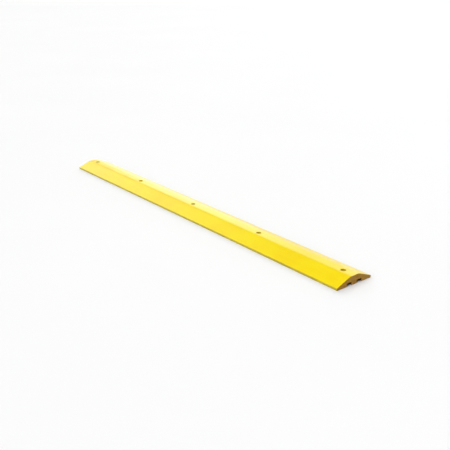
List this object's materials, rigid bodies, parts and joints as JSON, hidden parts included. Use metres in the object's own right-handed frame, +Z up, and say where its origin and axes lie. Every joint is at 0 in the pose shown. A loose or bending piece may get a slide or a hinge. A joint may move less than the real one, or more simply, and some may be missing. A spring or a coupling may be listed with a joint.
{
  "type": "parking wheel stop",
  "caption": "Long low yellow moulded bar with a narrow flat crest, gentle ramps, counterbored anchor holes and cable channels underneath.",
  "frame": {"origin": "middle of the underside, on the surface that the bar lies on", "axes": "+X along the bar, +Y across it, +Z up"},
  "size_m": [2.7432, 0.254, 0.0508],
  "materials": {
    "yellow_plastic": "satin",
    "zinc_plated_steel": "satin"
  },
  "bodies": {
    "root": {"bump_body": "yellow_plastic", "seat_washer_1": "zinc_plated_steel", "seat_washer_2": "zinc_plated_steel", "seat_washer_3": "zinc_plated_steel", "seat_washer_4": "zinc_plated_steel", "seat_washer_5": "zinc_plated_steel"}
  },
  "joints": []
}
